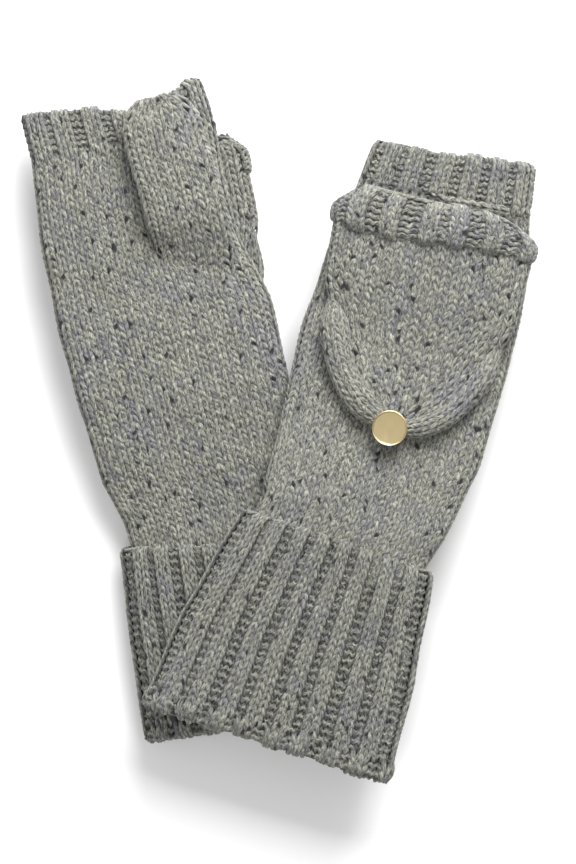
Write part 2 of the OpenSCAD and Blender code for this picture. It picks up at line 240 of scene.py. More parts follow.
# %% A tube of yarn along a path
def surface_frame(at, u, v, du=1e-3, dv=0.2):
    """Points of a surface, and its unit normals."""
    along_u = at(u + du, v) - at(u - du, v)
    along_v = at(u, v + dv) - at(u, v - dv)
    return at(u, v), unit(np.cross(along_u, along_v))


def yarn_tube(path, normal, wide, deep):
    """Rings of an oval section along a path, the distance along it, and how far forward each ring is."""
    tangent = unit(np.gradient(path, axis=0))
    across = unit(np.cross(tangent, normal))
    up = np.cross(across, tangent)
    turn = np.arange(YARN_SIDES) * 2 * math.pi / YARN_SIDES
    rings = (path[:, None]
             + across[:, None] * np.cos(turn)[None, :, None] * np.broadcast_to(wide, len(path))[:, None, None]
             + up[:, None] * np.sin(turn)[None, :, None] * np.broadcast_to(deep, len(path))[:, None, None])
    along = np.cumsum(np.linalg.norm(np.diff(path, axis=0, prepend=path[:1]), axis=1))
    return rings, along


# %% [markdown]
# ## From a yarn to a mesh
# The rings of points are joined into one closed mesh with two small end caps. Some numbers stay on each
# point for the wool material: how far along the yarn it is, where it is round the yarn, how far back it
# lies in the cloth, and where a dark slub was spun in. The material paints shade from how far back a point
# lies and where it is round the yarn. Slubs are placed here and not in the material,
# because in real tweed they are short lengths of one yarn, so they have to follow it round a stitch.

# %% Build a mesh from rings
SLUB_EVERY = 230.0  # mm of yarn to one slub
SLUB_LONG = (0.8, 2.6)  # half length, mm
SLUB_TURN = 0.6  # radians round the yarn
FRONT_SHARE = 0.4  # slubs lie on this share of the yarn
FRONT = math.pi / 2
rng = np.random.default_rng(7)


def slubs(along, turn, spots):
    """A mask over one yarn, near 1 where a dark slub is. A slub is a sliver that lies on part of the yarn."""
    mask = np.zeros((len(along), len(turn)))
    for _ in range(rng.poisson(along[-1] / MM / SLUB_EVERY)):
        near = (along / MM - rng.choice(spots)) / rng.uniform(*SLUB_LONG)
        facing = np.cos(turn - FRONT - rng.normal(0, SLUB_TURN))
        sliver = np.clip(1.2 - near ** 2, 0, 1)[:, None] * np.clip(1.2 * facing - 0.1, 0, 1)
        mask = np.maximum(mask, sliver)
    return mask


# %% One mesh of closed tubes
def mesh_from_rings(name, strands):
    """One mesh object of closed tubes. Each strand is (rings, distance along, depth in the cloth)."""
    points, quads, caps, yarn, extra = [], [], [], [], []
    first = 0
    for rings, along, depth in strands:
        rows, sides = rings.shape[:2]
        index = first + np.arange(rows * sides).reshape(rows, sides)
        following = np.roll(index, -1, axis=1)
        quads.append(np.stack([index[:-1], index[1:], following[1:], following[:-1]], -1).reshape(-1, 4))
        caps += [index[0].tolist(), index[-1][::-1].tolist()]
        points.append(rings.reshape(-1, 3))
        turn = np.arange(sides) * 2 * math.pi / sides
        around = np.tile(turn, rows)
        yarn.append(np.stack([np.repeat(along, sides), np.cos(around), np.sin(around)], -1))
        front = along[depth <= np.quantile(depth, FRONT_SHARE)] / MM
        extra.append(np.stack([np.repeat(depth, sides), slubs(along, turn, front).ravel()], -1))
        first += rows * sides
    quads = np.concatenate(quads)
    corners = np.concatenate([quads.ravel(), np.concatenate(caps)])
    sizes = np.concatenate([np.full(len(quads), 4), [len(cap) for cap in caps]])
    mesh = bpy.data.meshes.new(name)
    mesh.vertices.add(first)
    mesh.vertices.foreach_set("co", np.concatenate(points).astype(np.float32).ravel())
    mesh.loops.add(len(corners))
    mesh.loops.foreach_set("vertex_index", corners.astype(np.int32))
    mesh.polygons.add(len(sizes))
    mesh.polygons.foreach_set("loop_start", (np.cumsum(sizes) - sizes).astype(np.int32))
    mesh.polygons.foreach_set("use_smooth", np.ones(len(sizes), bool))
    mesh.update(calc_edges=True)
    mesh.attributes.new("yarn", "FLOAT_VECTOR", "POINT").data.foreach_set(
        "vector", np.concatenate(yarn).astype(np.float32).ravel())
    extra = np.concatenate(extra).astype(np.float32)
    for column_of, label in enumerate(("depth", "slub")):
        mesh.attributes.new(label, "FLOAT", "POINT").data.foreach_set("value", extra[:, column_of].copy())
    return add_object(name, mesh)


print(f"one dark slub to about {SLUB_EVERY:.0f} mm of yarn")

# %% [markdown]
# ## The knitting machine
# Given a surface, the helper sets out rows between two distances and stitches round each row, works the
# wave over it, and returns rings. A hand knitter's tension varies, so every stitch gets a slightly
# different size, and the whole cloth drifts a little up and down. Where a piece narrows, rows may have
# fewer stitches, which is how a rounded tip is shaped.

# %% How uneven a hand knitter is
TENSION = 0.1  # spread of the loops' heights
FATNESS = 0.6  # share of it in the yarn's thickness
DRIFT = 0.5  # slow rise and fall, mm
DRIFT_GRAIN = 0.03
WANDER = 0.5  # slow shift of the rows, mm
WANDER_GRAIN = 0.02
SLIM = (0.4, 1.1)  # thinnest and thickest yarn
PINCH = 0.14
# taken off the depth of purl stitches, so that the wool paints less shade on them
PURL_LIGHT = 0.05
print(f"loops vary by {TENSION:.0%} from stitch to stitch")


def soft_noise(points, size, seed):
    """A smooth random value for each point, from a few sine waves. size is its grain in metres."""
    dice = np.random.default_rng(seed)
    waves = 7
    total = np.zeros(len(points))
    for _ in range(waves):
        direction = unit(dice.normal(size=3)) * 2 * math.pi / (size * dice.uniform(0.7, 1.5))
        total += np.sin(points @ direction + dice.uniform(0, 2 * math.pi))
    return total / math.sqrt(waves)


# %% Knit a surface
def knit(at, start, stop, wales, out=1, pattern=None, knit_share=0.5, relief=0.0, row=ROW, thick=1.0,
         closed=True, reach=0.5, drift=DRIFT, bulge=LOOP_BULGE, tall=LOOP_TALL, seed=0):
    """One yarn knitted over at(u, v) from v = start to stop. wales is a number, or a function of v."""
    rows = max(1, round(abs(stop - start) / row))
    pitch = (stop - start) / rows
    parts = []
    for r in range(rows):
        n = wales(start + (r + 0.5) * pitch) if callable(wales) else wales
        done = np.arange(n * STEPS) / STEPS
        stitch = n - done if r % 2 and not closed else done
        parts.append((stitch, (stitch / n - 0.5) * 2 * reach, r + (done / n if closed else 0.5 + 0 * done),
                      np.full(len(done), n / (2 * reach))))
    stitch, u, v, per_turn = (np.concatenate(part) for part in zip(*parts))
    dice = np.random.default_rng(seed)
    number = np.arange(len(stitch)) // STEPS
    tall = tall * (1 + TENSION * dice.normal(size=number[-1] + 1))[number]
    fat = (1 + FATNESS * TENSION * dice.normal(size=number[-1] + 1))[number]
    face = knit_or_purl(stitch, pattern)
    wave = 2 * math.pi * stitch
    moved = spread(stitch, pattern, knit_share, wales, seed) - stitch
    u = u + (moved + bulge * np.sin(2 * wave)) / per_turn
    v = start + v * pitch + tall * np.cos(wave) * abs(pitch)
    v = v + WANDER * soft_noise(at(u, v), WANDER_GRAIN, seed + 2)
    here, normal = surface_frame(at, u, v)
    width = np.linalg.norm(at(u + 0.5 / per_turn, v) - at(u - 0.5 / per_turn, v), axis=1) / MM
    slim = np.clip(width / STITCH, *SLIM) * thick
    front = -np.cos(2 * wave) * face
    lift = relief * (face - 1) + LOOP_DEEP * front * slim + drift * soft_noise(here, DRIFT_GRAIN, seed + 1)
    normal = normal * out
    path = here + normal * (lift * MM)[:, None]
    plump = slim * fat * (1 - PINCH * np.cos(2 * wave))
    rings, along = yarn_tube(path, normal, YARN_WIDE * plump * MM, YARN_DEEP * plump * MM)
    # How far back the yarn lies, from 0 in front to 1 behind. The wool material paints shade from it, and
    # purl stitches get PURL_LIGHT less
    depth = 0.5 - 0.5 * front - PURL_LIGHT * (face < 0)
    return rings, along, depth


# %% [markdown]
# ## Chains and plain lengths of yarn
# A bind-off or a join is a chain: one column of stitches that lies along a line. A cord would be simpler,
# but the crossed loops are what makes a knitted edge look finished. The buttons' thread and the caps' loops
# really are plain lengths, so those are only a tube along a path.

# %% Chains and laid yarn
def by_width(at):
    """How many stitches fit round at(u, v), always an even number."""
    return lambda v: max(6, 2 * round(girth(at, v) / STITCH / 2))


def chain(at, length, out, row=STITCH, thick=1.2, seed=0):
    """A line of chain stitches: one column of knitting, with its rows running along at(u, v)'s v."""
    return knit(at, 0, length, 1, out, row=row, thick=thick, closed=False, drift=0.1, seed=seed)


# the depth given to a plain length of yarn, which sets the wool material's painted shade on it
LAID_DEPTH = 0.3


def laid_yarn(path, radius):
    """A plain length of yarn along a path of points."""
    smooth_path = np.stack([np.interp(np.linspace(0, 1, 10 * len(path)), np.linspace(0, 1, len(path)), line)
                            for line in np.asarray(path).T], -1)
    up = np.tile([0.0, 0.3, 0.95], (len(smooth_path), 1))
    rings, along = yarn_tube(smooth_path, up, radius * MM, radius * MM)
    return rings, along, np.full(len(along), LAID_DEPTH)


# %% [markdown]
# ## Spun wool
# The yarn is two soft plies of marled tweed: greenish grey and bluish lilac fibres, never mixed evenly.
# One way is a noise over the whole mitten, but then a patch of colour would cut straight through a stitch.
# So the group below reads the yarn's own coordinates. Its fibres are streaks that run along the yarn, its
# plies wind round it, and the shades change slowly from one length of yarn to the next.
# The group gives a colour, with painted shade in it, and a height. Each wool material brings its own two
# shades and contrast.

# %% Helpers for shader nodes
def new_group(name, inputs):
    """A node group with these input sockets, which gives a colour and a height."""
    group = bpy.data.node_groups.new(name, "ShaderNodeTree")
    for label, value in inputs.items():
        kind = "NodeSocketColor" if isinstance(value, tuple) else "NodeSocketFloat"
        group.interface.new_socket(name=label, in_out="INPUT", socket_type=kind).default_value = value
    group.interface.new_socket(name="Colour", in_out="OUTPUT", socket_type="NodeSocketColor")
    group.interface.new_socket(name="Height", in_out="OUTPUT", socket_type="NodeSocketFloat")
    return group


def node(tree, kind, inputs=None, **settings):
    """One node. An input is a value, or a socket to link from."""
    made = tree.nodes.new(kind)
    for key, value in settings.items():
        setattr(made, key, value)
    for key, value in (inputs or {}).items():
        if isinstance(value, bpy.types.NodeSocket):
            tree.links.new(value, made.inputs[key])
        else:
            made.inputs[key].default_value = value
    return made


def maths(tree, operation, a, b=0.0):
    return node(tree, "ShaderNodeMath", {0: a, 1: b}, operation=operation).outputs[0]


def blend_colour(tree, factor, a, b, way="MIX"):
    return node(tree, "ShaderNodeMix", {0: factor, 6: a, 7: b}, data_type="RGBA", blend_type=way).outputs[2]


def lit(tree, colour, light):
    """A colour times a grey value."""
    grey = node(tree, "ShaderNodeCombineColor", {0: light, 1: light, 2: light}).outputs[0]
    return blend_colour(tree, 1.0, colour, grey, "MULTIPLY")


def noise(tree, vector, scale, detail, roughness=0.5):
    return node(tree, "ShaderNodeTexNoise", {"Vector": vector, "Scale": scale, "Detail": detail,
                                             "Roughness": roughness}).outputs[0]


def remap(tree, value, low, high, to_low=0.0, to_high=1.0):
    return node(tree, "ShaderNodeMapRange", {0: value, 1: low, 2: high, 3: to_low, 4: to_high},
                interpolation_type="SMOOTHSTEP").outputs[0]


def group_material(name, group, values, look, strength, distance):
    """A material whose colour and bump come from a group. look sets the shader's own inputs."""
    material = bpy.data.materials.new(name)
    material.use_nodes = True
    tree = material.node_tree
    shader = tree.nodes["Principled BSDF"]
    made = tree.nodes.new("ShaderNodeGroup")
    made.node_tree = group
    for sockets, settings in ((made.inputs, values), (shader.inputs, look)):
        for key, value in settings.items():
            sockets[key].default_value = value
    bump = node(tree, "ShaderNodeBump", {"Height": made.outputs["Height"], "Strength": strength,
                                         "Distance": distance * MM})
    tree.links.new(made.outputs["Colour"], shader.inputs["Base Color"])
    tree.links.new(bump.outputs["Normal"], shader.inputs["Normal"])
    return material


# %% The spun wool group
FIBRE_SQUEEZE = 260.0
SHADE_SQUEEZE = 110.0
CLOUD_SCALE = 42.0
SHADE_MIX = (0.6, 0.4)
spun = new_group("spun_wool", {
    "Main shade": (0.42, 0.43, 0.36, 1), "Second shade": (0.36, 0.36, 0.40, 1),
    "Dark fibre": (0.006, 0.006, 0.008, 1), "Second share": 0.45, "Fibre contrast": 0.5,
    "Ply length": 0.0046})
times, plus, minus = (partial(maths, spun, way) for way in ("MULTIPLY", "ADD", "SUBTRACT"))
into = spun.nodes.new("NodeGroupInput")
yarn_at, slub_at, depth_at = (node(spun, "ShaderNodeAttribute", attribute_name=label)
                              for label in ("yarn", "slub", "depth"))
parts = node(spun, "ShaderNodeSeparateXYZ", {0: yarn_at.outputs["Vector"]})
round_yarn = maths(spun, "ARCTAN2", parts.outputs[2], parts.outputs[1])
twist = times(maths(spun, "DIVIDE", parts.outputs[0], into.outputs["Ply length"]), 2 * math.pi)
ply = maths(spun, "SINE", minus(times(round_yarn, 2.0), twist))

# %% Fibres and shades of the spun wool
# Fibres: coordinates squeezed along the yarn make streaks
fibre_place = node(spun, "ShaderNodeCombineXYZ", {
    0: times(parts.outputs[0], FIBRE_SQUEEZE), 1: parts.outputs[1], 2: parts.outputs[2]})
fibres = noise(spun, fibre_place.outputs[0], 2.6, 4.0, 0.65)
# Shades: slow along the yarn, and in soft clouds over the knitting
shade_place = node(spun, "ShaderNodeCombineXYZ", {0: times(parts.outputs[0], SHADE_SQUEEZE)})
shade = noise(spun, shade_place.outputs[0], 1.0, 2.0)
place = node(spun, "ShaderNodeTexCoord")
cloud = noise(spun, place.outputs["Object"], CLOUD_SCALE, 3.0, 0.6)
mixed = plus(times(shade, SHADE_MIX[0]), times(cloud, SHADE_MIX[1]))
share = plus(mixed, minus(into.outputs["Second share"], 0.5))
second = remap(spun, share, 0.44, 0.62)
base = blend_colour(spun, second, into.outputs["Main shade"], into.outputs["Second shade"])

# %% Fibre tone, painted shade and slubs of the spun wool
# Painted shade and light: darker in the groove between the plies, deep in the cloth and on the yarn's back
# and sides, and a little lighter at the front
streak = remap(spun, fibres, 0.25, 0.75, -1.0, 1.0)
groove = remap(spun, ply, -1.0, -0.2, 1.0, 0.0)
uneven = times(streak, into.outputs["Fibre contrast"])
light = minus(plus(uneven, 1.0), times(groove, 0.3))
light = times(light, remap(spun, depth_at.outputs["Fac"], 0.0, 0.9, 1.06, 0.14))
light = times(light, remap(spun, shade, 0.3, 0.7, 1.24, 0.78))
light = times(light, remap(spun, parts.outputs[2], -0.3, 0.95, 0.3, 1.1))
# the base colour times the fibre tone and the painted shade
toned_and_shaded = lit(spun, base, light)
# Dark slubs, with fibrous ends, and a few dark fibres everywhere
ragged = plus(slub_at.outputs["Fac"], times(streak, 0.3))
slub_mask = remap(spun, ragged, 0.36, 0.52)
tinted = blend_colour(spun, slub_mask, toned_and_shaded, into.outputs["Dark fibre"])
out_of = node(spun, "NodeGroupOutput", {0: tinted})
height = plus(times(ply, 0.5), times(streak, 0.5))
spun.links.new(height, out_of.inputs[1])
print("spun wool group:", len(spun.nodes), "nodes")


# %% [markdown]
# ## Four yarns
# It is all one marled yarn. The ribs and the plain parts get a material each, so that either can be
# recoloured alone. The caps' loops have quieter fibres, and the buttons are sewn on with a finer cotton.
# Wool scatters light softly, so it is rough, has little shine, and has a sheen from its loose fibres.

# %% Wool materials
def wool(name, main, second, share, contrast, ply=4.6):
    """A material of spun wool. ply is the length of one twist, in millimetres."""
    return group_material(name, spun, {
        "Main shade": (*main, 1), "Second shade": (*second, 1), "Second share": share,
        "Fibre contrast": contrast, "Ply length": ply * MM}, {
        "Roughness": 0.92, "Specular IOR Level": 0.2, "Sheen Weight": 0.25,
        "Sheen Roughness": 0.6}, 0.8, 0.25)


GREEN_GREY = (0.18, 0.181, 0.152)
LILAC_GREY = (0.151, 0.151, 0.163)
body_wool, rib_wool = (wool(name, GREEN_GREY, LILAC_GREY, 0.48, 0.95) for name in ("body_wool", "rib_wool"))
loop_wool = wool("loop_wool", GREEN_GREY, LILAC_GREY, 0.5, 0.5)
cotton = wool("cotton_thread", (0.5, 0.48, 0.41), (0.46, 0.44, 0.38), 0.5, 0.15, ply=1.3)
print("yarns:", [m.name for m in (body_wool, rib_wool, loop_wool, cotton)])


# %% Hand a finished piece over
def hand_over(piece, body, slot, material, *nodes, bends=None):
    """Gives a finished piece its material and hides the CAD nodes that it stands for. Without bends it goes
    on its body; with bends its transform is only baked.
    """
    piece.data.materials.append(material)
    if bends is None:
        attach(piece, body)
    else:
        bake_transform(piece)
    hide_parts(*nodes)
    lowest, highest = np.array(piece.bound_box).min(0), np.array(piece.bound_box).max(0)
    print(f"{piece.name}: {len(piece.data.polygons)} faces, {(highest - lowest).round(3).tolist()} m")


def make_piece(side, label, strands, stands_for, slot="rib_yarn", material=rib_wool, body="hand"):
    """Makes one piece from its strands and hands it over. Most are rib yarn on the hand's body."""
    hand_over(mesh_from_rings(f"{side}_{label}", strands), f"{side}_{body}", slot, material,
              f"{side}_{stands_for}")


# %% [markdown]
# ## Hand tubes and finger ribs
# Each hand is a plain tube of stockinette from the wrist to the knuckles, and goes on as a rib of two knit
# and two purl columns, which pulls in round the fingers. The rib's knit columns stand proud, because purl
# columns shrink back between them. The edge ends in a bind-off: a chain of stitches that lies along it.

# %% The wall of a tube and its bind-off
WALL = 2.2
HAND_H = 5.2
AIR = 0.3
TUCK = 0.15
HAND_WALES = 42
FINGER_WALES = {"right": 56, "left": 52}
FINGER_ROW = 3.1
FINGER_ROLL = 1.6
EDGE_PROUD = 1.0
HAND_START = -14
CHAIN_REACH = 2.6  # width of a bind-off's chain, in radii of the edge


def layer(table, thick, wall, top=None, roll=1.0):
    """The middle of a tube's wall, along one of the tables. Past top, the edge rolls inwards."""
    def shape(v):
        a = np.zeros_like(v) if top is None else np.clip((v - top) / roll, 0, 2.2)
        y = np.where(a > 0, (top or 0) + roll * np.sin(a), v)
        sunk = roll * (1 - np.cos(a)) + wall / 2 + TUCK
        return (y, column(table, y, 1), column(table, y, 2) - sunk,
                np.radians(column(table, y, 3)), 0.0, thick - sunk)
    return shape


def lip(shape, y_end, radius):
    """The edge of a tube, from its outside over the end to its inside. v is the distance over the edge."""
    def over(v):
        _, shift, half, slant, middle, thick = shape(np.full_like(v, y_end))
        a = v / radius
        return (y_end + radius * np.sin(a), shift, half + radius * np.cos(a), slant, middle,
                thick + radius * np.cos(a))
    return over


def along_edge(at, v_middle, wide):
    """Turns at(u, v) round, so that rows run along the edge and one stitch lies across it."""
    round_edge = girth(at, v_middle)
    return (lambda u, v: at(v / round_edge - 0.5, v_middle + u * wide)), round_edge


def edge_chain(side, table, thick, wall, end, back, radius, lower, deeper, seed):
    """The bind-off: a chain over the edge of a layer that lies inside the tube, and back from its end."""
    shape = layer(table, thick - lower, wall + deeper)
    over = flat_tube(side, lip(shape, end - back, radius), UP[side], slump(side))
    edge, length = along_edge(over, radius * math.pi / 2, radius * CHAIN_REACH)
    return chain(edge, length, -1, seed=seed)


print(f"the hand's wall is {WALL} mm thick")

# %% Knit the hands
FINGER_CHAIN = dict(back=2.6, radius=1.1, lower=1.6, deeper=3.0)
for side in SIDES:
    face = UP[side]
    hand_shape = layer(HAND[side], HAND_H, WALL, RIB_END[side] + EDGE_PROUD - FINGER_ROLL, FINGER_ROLL)
    hand = flat_tube(side, hand_shape, face, slump(side))
    rib_over = RIB_END[side] + EDGE_PROUD + 0.6 * FINGER_ROLL
    strands = [knit(hand, HAND_START, KNUCKLE[side][0], HAND_WALES, seed=11)]
    make_piece(side, "hand_knit", strands, "hand_tube", "body_yarn", body_wool)
    strands = [knit(hand, KNUCKLE[side][0], rib_over, FINGER_WALES[side], pattern=RIB, knit_share=0.68,
                    relief=0.3, row=FINGER_ROW, thick=1.3, seed=12)]
    make_piece(side, "finger_rib_knit", strands, "finger_rib")
    strands = [edge_chain(side, HAND[side], HAND_H, WALL, RIB_END[side], seed=13, **FINGER_CHAIN)]
    make_piece(side, "finger_chain", strands, "finger_bind_off")

# %% [markdown]
# ## Cuffs
# A cuff is one long rib that folds back on itself. So it has an inner layer on the wrist, a fold at the
# bottom and an outer layer that is turned up over it. The fold is knitted on its own round surface. The
# outer layer is looser, and its ribs are fat, since nothing holds them in.

# %% The fold and the inner layer
CUFF_H = 8.2
TURN_UP_WALL = 2.7
FOLD_LEN = 7.0
INNER_SHIFT = 3.3
CUFF_ROLL = 2.4
CUFF_WALES = 72
CUFF_STYLE = dict(pattern=RIB, knit_share=0.62, row=3.75, bulge=0.28, tall=1.05)
CUFF_CHAIN = dict(back=2.0, radius=1.3, lower=1.8, deeper=3.6)


def fold(side):
    """The bottom of the cuff: down the outer layer, round the fold and up the inner one."""
    low = CUFF[side][0][0]
    outer = CUFF_H - TURN_UP_WALL / 2 - TUCK
    inner = HAND_H - WALL / 2 - TUCK
    radius = (outer - inner) / 2
    straight = FOLD_LEN - radius

    def shape(v):
        a = np.clip((v - straight) / radius, 0, math.pi)
        y = low + radius * (1 - np.sin(a)) + np.maximum(straight - v, 0) + np.maximum(
            v - straight - math.pi * radius, 0)
        shift, half, slant = (column(CUFF[side], y, k) for k in (1, 2, 3))
        thick = inner + radius * (1 + np.cos(a))
        half = half - TURN_UP_WALL / 2 - TUCK - radius * (1 - np.cos(a))
        return y, shift, half, np.radians(slant), 0.0, thick
    return shape, 2 * straight + math.pi * radius


def wrist(side):
    """The inner layer, from the fold up to the start of the hand."""
    low, top = CUFF[side][0], HAND[side][0]

    def shape(y):
        t = np.clip((y - low[0] - FOLD_LEN) / (top[0] - low[0] - FOLD_LEN), 0, 1)
        inside = column(CUFF[side], y, 2) - INNER_SHIFT
        half = inside + (top[2] - inside) * t ** 4
        shift, slant = column(CUFF[side], y, 1), column(CUFF[side], y, 3)
        return (y, shift + (top[1] - shift) * t, half - WALL / 2 - TUCK,
                np.radians(slant + (top[3] - slant) * t), 0.0, HAND_H - WALL / 2 - TUCK)
    return shape


print("cuffs' width at the fold:", [2 * CUFF[side][0][2] for side in SIDES], "mm")

# %% Knit the cuffs
for side in SIDES:
    face = UP[side]
    low, top = CUFF[side][0][0], CUFF[side][2][0]
    cuff_shape = layer(CUFF[side], CUFF_H, TURN_UP_WALL, top - CUFF_ROLL, CUFF_ROLL)
    strands = [knit(flat_tube(side, cuff_shape, face), low + FOLD_LEN, top + CUFF_ROLL, CUFF_WALES, seed=21,
                    relief=0.85, thick=1.15, **CUFF_STYLE)]
    make_piece(side, "cuff_knit", strands, "cuff_turn_up")
    fold_shape, fold_long = fold(side)
    strands = [knit(flat_tube(side, fold_shape, face), fold_long, 0, CUFF_WALES, out=-1, seed=22,
                    relief=0.3, thick=1.4, **CUFF_STYLE)]
    make_piece(side, "cuff_fold_knit", strands, "cuff_fold")
    strands = [knit(flat_tube(side, wrist(side), face), low + FOLD_LEN, HAND_START, CUFF_WALES, seed=23,
                    pattern=RIB, knit_share=0.6, relief=0.3, thick=1.2, drift=0.2)]
    make_piece(side, "wrist_knit", strands, "wrist_rib")
    strands = [edge_chain(side, CUFF[side], CUFF_H, TURN_UP_WALL, top, seed=24, **CUFF_CHAIN)]
    make_piece(side, "cuff_chain", strands, "cuff_bind_off")

# %% [markdown]
# ## Thumbs
# The thumb is a small tube on the palm. It rises out of the palm at its base, so its first rows are thin,
# and its tip is closed by rows of fewer and fewer stitches. Its mesh is baked in place, not put on a body.

# %% The thumb's surface
THUMB_BASE = {"right": (109.5, 16, 17.5, -18), "left": (92, 16, 17.5, -18)}
THUMB_LEN = 87.0
THUMB_H = 4.3
THUMB_WALL = 1.9
THUMB_ROUND = 17.0
THUMB_SWELL = 34.0
THUMB_SUNK = 2.9
THUMB_BEND = (-6.0, 12.0)
THUMB_START = -6


def thumb_shape(side):
    base_y, base_x, base_half, base_slant = THUMB_BASE[side]

    def shape(v):
        v = np.minimum(v, THUMB_LEN - THUMB_WALL)
        left = THUMB_LEN - THUMB_WALL / 2 - v
        r = np.sqrt(np.clip(1 - np.clip(1 - left / THUMB_ROUND, 0, 1) ** 2, 0, 1))
        shift = base_x + 1.5 * smooth(v / 20) * (1 - smooth((v - 40) / 25))
        thick = THUMB_H * (0.35 + 0.65 * r) * (0.12 + 0.88 * smooth(v / THUMB_SWELL))
        sunk = THUMB_SUNK * (1 - smooth(v / THUMB_SWELL))
        half = (base_half + 0.6 * smooth(v / 20)) * np.maximum(r, 0.03)
        return (base_y + v, shift, half - THUMB_WALL / 2 * r, np.radians(base_slant * (1 - smooth(v / 40))),
                -(HAND_H + AIR + thick - sunk), np.maximum(thick - THUMB_WALL / 2 * r, 0.4))
    return shape


print(f"thumbs: {THUMB_LEN:.0f} mm long")

# %% [markdown]
# ## Joins
# Knitted pieces are joined by picking up stitches along a line, which leaves a chain. So a join is drawn
# as one, with its edges bent down into the cloth.

# %% A chain of joining stitches
JOIN_WIDE = 3.2
JOIN_SAG = 0.9
THUMB_JOIN_DEEP = 2.4


def seam(side, middle, half, slant, count, sag, seed):
    """Chain stitches along a slanted line through its middle point. sag lowers the chain's two edges."""
    x, y, z = middle
    points = np.array([(x + a * math.cos(slant), y + a * math.sin(slant), z)
                       for a in np.linspace(-half, half, count)])
    steps = np.concatenate([[0], np.cumsum(np.hypot(*np.diff(points[:, :2], axis=0).T))])
    heading = np.arctan2(*(points[-1] - points[0])[1::-1])

    def at(u, v):
        x, y, z = (np.interp(v, steps, line) for line in points.T)
        return lay(side, x - np.sin(heading) * u * JOIN_WIDE, y + np.cos(heading) * u * JOIN_WIDE,
                   z + sag * (2 * u) ** 2)
    return chain(at, steps[-1], UP[side] * (-1 if sag < 0 else 1), seed=seed)


# %% Knit the thumbs
for side in SIDES:
    at = flat_tube(side, thumb_shape(side), -1)
    strands = [knit(at, THUMB_START, THUMB_LEN - THUMB_WALL, by_width(at), out=-UP[side], drift=0.25,
                    seed=31)]
    base_y, base_x, base_half, base_slant = THUMB_BASE[side]
    start, end = (lay(side, base_x, base_y + v, -HAND_H) for v in THUMB_BEND)
    hand_over(mesh_from_rings(f"{side}_thumb_knit", strands), None, "body_yarn", body_wool, f"{side}_thumb",
              bends=(f"{side}_hand", f"{side}_thumb_stall", start, end))
    strands = [seam(side, (base_x, base_y + THUMB_START, -(HAND_H - THUMB_JOIN_DEEP)), base_half,
                    math.radians(base_slant), 8, JOIN_SAG, 33)]
    make_piece(side, "thumb_join", strands, "thumb_seam")

# %% [markdown]
# ## Caps
# The cap is a flat pocket that is folded back over the hand. Its middle is plain stockinette. Its rounded
# tip is narrowed along both edges, and the paired decreases pile up into a raised band on each side.
# The middle is puffed near the mouth and thin at the tip, where the bands lie over it. The mouth sags
# unevenly, like every open edge here.

# %% The cap's measurements
CAP_LEN = 106.6
CAP_ROUND = 66.0
CAP_W = 45.0
CAP_MOUTH_W = 43.5
CAP_H = 4.2
CAP_WALL = 1.8
MOUTH_BACK = 3.0
CAP_SHIFT = {"right": (4, 4, 5.5), "left": (1, 4.5, 8.5)}
BAND_W = {"right": (5.0, 6.4), "left": (5.0, 7.0)}
BAND_H = 4.0
CORNER = 5.0
CORNER_LONG = 11
MOUTH_EXTRA = 2.5
CAP_THIN = 1.3
CAP_PUFF = 2.9
PUFF_FROM = 26
PUFF_LONG = 62
SHELL_BACK = 0.5
SHELL_SHORT = 7
CAP_START = 2.5
HEM_DEEP = 18.0
MOUTH_SAG = {
    "right": [(-1, 5), (-0.8, 0), (0.6, 0), (0.8, 2.5), (1, 5)],
    "left": [(-1, 3), (-0.85, -2.2), (-0.5, -1.5), (0, 0), (0.5, 1), (0.7, 2), (1, 7)],
}
HEM_SAG = {
    "right": [(-1, 0), (0.7, 0.5), (1, 3.5)],
    "left": [(-1, -1), (-0.6, 1.5), (-0.35, 2), (0.1, -1.8), (0.5, -2.5), (1, -3)],
}


def cap_lines(side):
    """The cap's mouth, the start of its rounded tip, and its tip."""
    mouth = KNUCKLE[side][0] + 0.6 - MOUTH_BACK
    tip = mouth - CAP_LEN
    return mouth, tip + CAP_ROUND, tip


def table_at(table, across):
    """A table's value at a position across the cap."""
    return np.interp(across, *zip(*table))


def mouth_sag(side):
    """How far the cap's mouth sags, from its position across the cap."""
    mouth = cap_lines(side)[0]
    return lambda y, at: table_at(MOUTH_SAG[side], at) * smooth((y - mouth) / HEM_DEEP + 1)


def mouth_corner(mouth, y):
    """How far the cap's sides are drawn in, near its mouth."""
    return CORNER * (1 - smooth((mouth + 2 - y) / CORNER_LONG))


def cap_middle(side, y):
    """The sideways place of the cap's middle line."""
    mouth, bend, tip = cap_lines(side)
    at_mouth, at_bend, at_tip = CAP_SHIFT[side]
    return np.interp(y, [tip, bend, mouth], [at_tip, at_bend, at_mouth])


print(f"caps: {CAP_LEN:.0f} mm long and {2 * CAP_W:.0f} mm wide")


